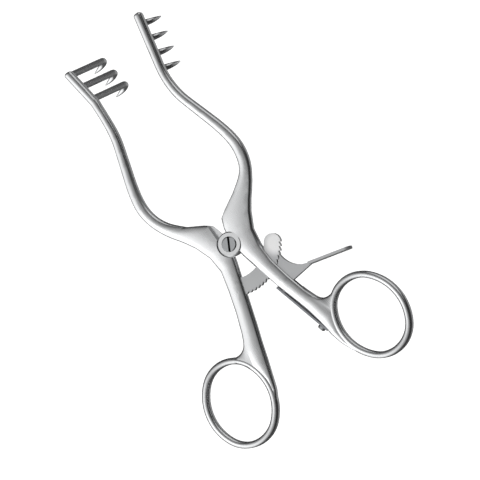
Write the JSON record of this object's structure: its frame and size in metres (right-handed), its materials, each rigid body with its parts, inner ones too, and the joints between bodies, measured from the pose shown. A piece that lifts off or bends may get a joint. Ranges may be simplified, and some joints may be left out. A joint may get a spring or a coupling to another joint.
{
  "type": "self retaining retractor",
  "caption": "Scissor-like self retaining retractor: ringed halves on a hinge screw, hooked prongs on both jaws, and an arc rack held open by a sprung thumb lever.",
  "frame": {"origin": "on the hinge axis, at mid-thickness of the instrument", "axes": "+Y up the middle from the handles to the jaws, +X to the four-prong half that carries the release lever, +Z along the hinge axis out of the face with the screw's slotted head; the prongs point to -Z. Rest pose as in the picture, jaws partly open."},
  "size_m": [0.0957, 0.1751, 0.0348],
  "materials": {
    "steel_satin": "satin",
    "steel_screw": "polished",
    "steel_rack": "matt",
    "steel_lever": "satin",
    "steel_spring": "satin spring steel"
  },
  "bodies": {
    "left": {"left_half": "steel_satin", "pivot_screw": "steel_screw", "ratchet_bar": "steel_rack", "ratchet_rivets": "steel_satin"},
    "right": {"right_half": "steel_satin", "lever_pin": "steel_screw", "lever_spring": "steel_spring", "spring_screw": "steel_screw"},
    "lever": {"release_lever": "steel_lever"}
  },
  "joints": [
    {"name": "jaw_hinge", "type": "hinge", "parent": "left", "child": "right", "pos_m": [0, 0, 0], "axis": [0, 0, 1], "range_deg": [-28, 19.6]},
    {"name": "lever_hinge", "type": "hinge", "parent": "right", "child": "lever", "pos_m": [0.0106, -0.0244, 0], "axis": [0, 0, 1], "range_deg": [-10, 0], "stiffness_Nm_per_rad": 0.04, "springref_deg": 2.86, "deforming": ["lever_spring"]}
  ]
}
